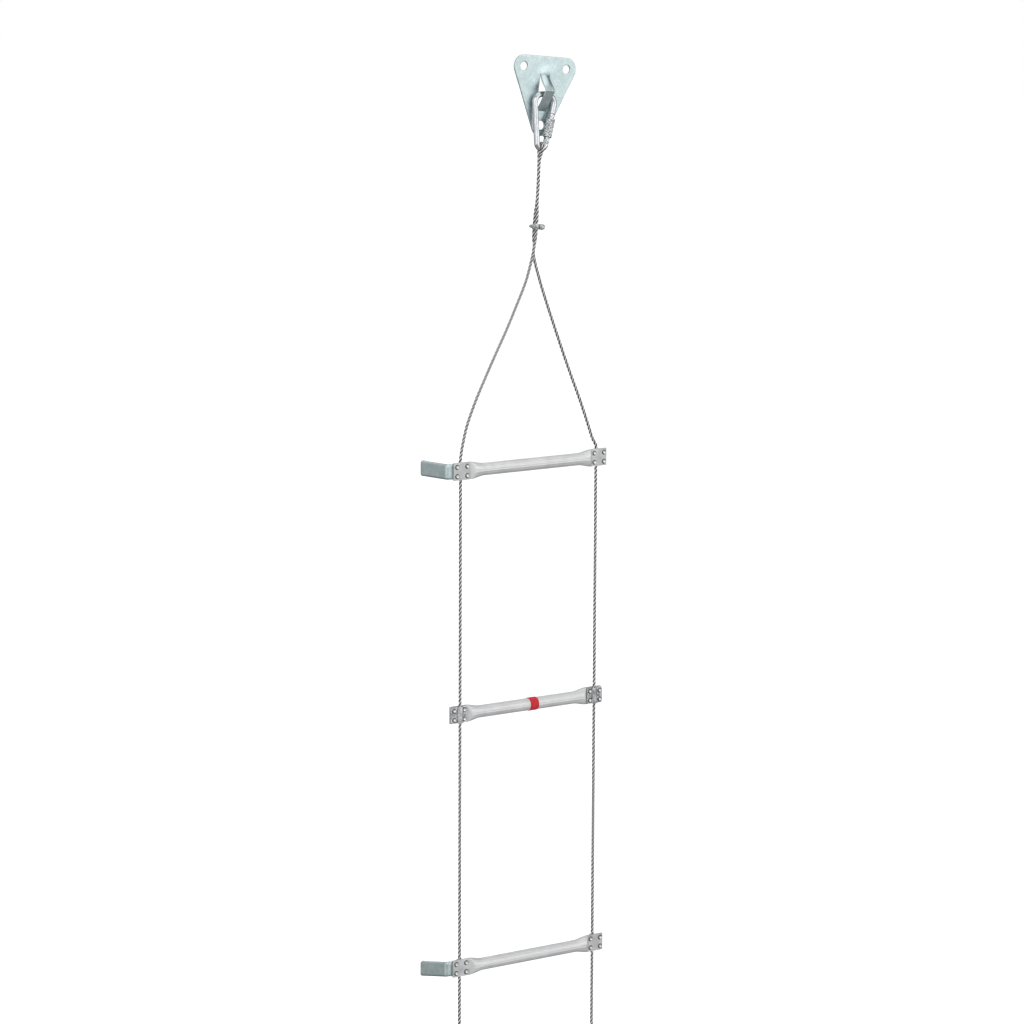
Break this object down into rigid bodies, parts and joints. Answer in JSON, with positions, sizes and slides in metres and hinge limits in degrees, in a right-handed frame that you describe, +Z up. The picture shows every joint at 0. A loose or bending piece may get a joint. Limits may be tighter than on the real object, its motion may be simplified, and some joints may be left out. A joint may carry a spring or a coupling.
{
  "type": "emergency escape ladder",
  "caption": "Escape ladder of tube rungs clamped between two steel wire ropes, with stand-off strips, hung from a bridged wall plate by a screw-gate carabiner.",
  "frame": {"origin": "on the wall plate's back face, midway between its two upper screw holes", "axes": "+X along the rungs, +Y into the wall, +Z up"},
  "size_m": [0.2288, 0.0682, 1.4071],
  "materials": {
    "zinc_plated_steel": "mottled zinc plating",
    "bright_steel": "polished",
    "aluminium": "mill finish",
    "steel_wire_rope": "galvanised strands",
    "red_band": "matt"
  },
  "bodies": {
    "wall": {"wall_plate": "zinc_plated_steel"},
    "carabiner": {"carabiner_body": "bright_steel", "gate_pin": "bright_steel"},
    "gate": {"carabiner_gate": "bright_steel", "gate_plunger": "bright_steel", "gate_spring": "bright_steel"},
    "sleeve": {"screw_sleeve": "bright_steel"},
    "hanger": {"hanger_rope": "steel_wire_rope", "clip_u_bolt": "zinc_plated_steel", "clip_saddle": "zinc_plated_steel", "clip_nut_left": "zinc_plated_steel", "clip_nut_right": "zinc_plated_steel"},
    "rung_1": {"rope_left_1": "steel_wire_rope", "rope_right_1": "steel_wire_rope", "rung_1": "aluminium", "clamp_left_1": "zinc_plated_steel", "clamp_right_1": "zinc_plated_steel"},
    "bay_2": {"rope_left_2": "steel_wire_rope", "rope_right_2": "steel_wire_rope", "rung_2": "aluminium", "clamp_left_2": "zinc_plated_steel", "clamp_right_2": "zinc_plated_steel", "red_band": "red_band"},
    "bay_3": {"rope_left_3": "steel_wire_rope", "rope_right_3": "steel_wire_rope", "rung_3": "aluminium", "clamp_left_3": "zinc_plated_steel", "clamp_right_3": "zinc_plated_steel"},
    "bay_4": {"rope_left_4": "steel_wire_rope", "rope_right_4": "steel_wire_rope", "rung_4": "aluminium", "clamp_left_4": "zinc_plated_steel", "clamp_right_4": "zinc_plated_steel", "ferrule_left": "aluminium", "ferrule_right": "aluminium"}
  },
  "joints": [
    {"name": "carabiner_swing", "type": "hinge", "parent": "wall", "child": "carabiner", "pos_m": [-0.00287, -0.00466, -0.03003], "axis": [-0.9877, 0, 0.1564], "range_deg": [0, 80]},
    {"name": "gate_open", "type": "hinge", "parent": "carabiner", "child": "gate", "pos_m": [-0.00441, -0.01107, -0.08393], "axis": [-0.0143, 0.9958, -0.0902], "range_deg": [-24, 0], "stiffness_Nm_per_rad": 0.3, "springref_deg": 28.65},
    {"name": "sleeve_travel", "type": "slide", "parent": "gate", "child": "sleeve", "axis": [0.3088, 0.0902, 0.9468], "range_m": [0, 0.008]},
    {"name": "hanger_swing", "type": "hinge", "parent": "carabiner", "child": "hanger", "pos_m": [-0.01282, -0.012, -0.09285], "axis": [0.9877, 0, -0.1564], "range_deg": [-25, 25]},
    {"name": "rung_1_tilt", "type": "hinge", "parent": "hanger", "child": "rung_1", "pos_m": [-0.02752, -0.012, -0.4517], "axis": [1, 0, 0], "range_deg": [-30, 30]},
    {"name": "bay_2_fold", "type": "hinge", "parent": "rung_1", "child": "bay_2", "pos_m": [-0.02752, -0.012, -0.4778], "axis": [1, 0, 0], "range_deg": [-80, 80]},
    {"name": "bay_3_fold", "type": "hinge", "parent": "bay_2", "child": "bay_3", "pos_m": [-0.02752, -0.012, -0.7698], "axis": [1, 0, 0], "range_deg": [-80, 80]},
    {"name": "bay_4_fold", "type": "hinge", "parent": "bay_3", "child": "bay_4", "pos_m": [-0.02752, -0.012, -1.0778], "axis": [1, 0, 0], "range_deg": [-80, 80]}
  ]
}
